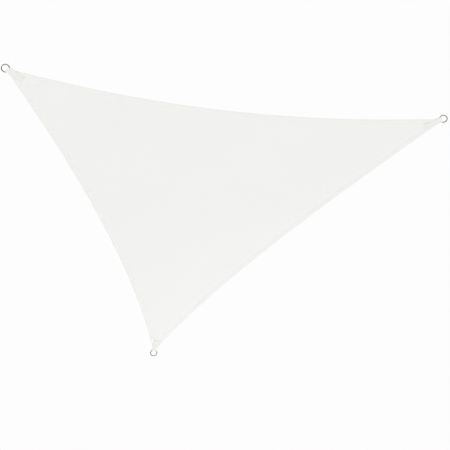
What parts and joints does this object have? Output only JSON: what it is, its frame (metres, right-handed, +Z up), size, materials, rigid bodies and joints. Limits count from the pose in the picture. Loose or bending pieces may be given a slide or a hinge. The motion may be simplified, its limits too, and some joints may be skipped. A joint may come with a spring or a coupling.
{
  "type": "shade sail",
  "caption": "Triangular shade sail of off-white cloth with hollow hemmed edges, hung taut and sloping by welded steel rings in webbing straps at its corners.",
  "frame": {"origin": "middle of the low ring, where the low corner is held", "axes": "+X along the level edge from the left to the right ring, +Y level and towards the low ring, +Z up"},
  "size_m": [3.0512, 2.3237, 1.2929],
  "materials": {
    "sail_fabric": "matt off-white close-woven cloth",
    "strap_webbing": "off-white woven webbing with thread of the same colour",
    "ring_steel": "polished stainless wire with a welded joint"
  },
  "bodies": {
    "root": {"sail_cloth": "sail_fabric", "corner_strap_left": "strap_webbing", "corner_strap_right": "strap_webbing", "corner_strap_low": "strap_webbing", "ring_left": "ring_steel", "ring_right": "ring_steel", "ring_low": "ring_steel"}
  },
  "joints": []
}
